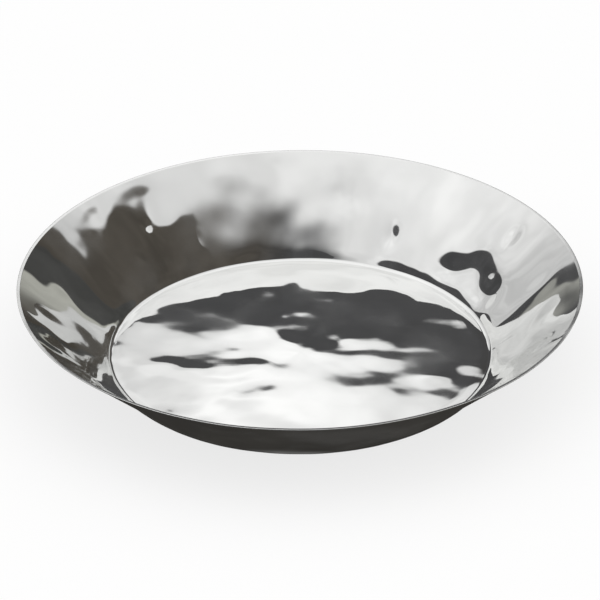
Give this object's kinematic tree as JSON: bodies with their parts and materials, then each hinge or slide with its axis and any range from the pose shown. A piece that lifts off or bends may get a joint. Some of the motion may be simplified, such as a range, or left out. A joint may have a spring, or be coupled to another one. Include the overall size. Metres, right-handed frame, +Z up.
{
  "type": "bowl paten",
  "caption": "Shallow round metal dish with a flat floor, a straight flared wall and a level rim, hammered and polished, for holding altar bread.",
  "frame": {"origin": "centre of the flat underside, on the surface that the dish stands on", "axes": "+Z up along the dish's axis of revolution; X and Y are any two horizontal directions"},
  "size_m": [0.18, 0.18, 0.0264],
  "materials": {
    "polished_metal": "hammered, then polished to a mirror"
  },
  "bodies": {
    "root": {"paten_dish": "polished_metal"}
  },
  "joints": []
}
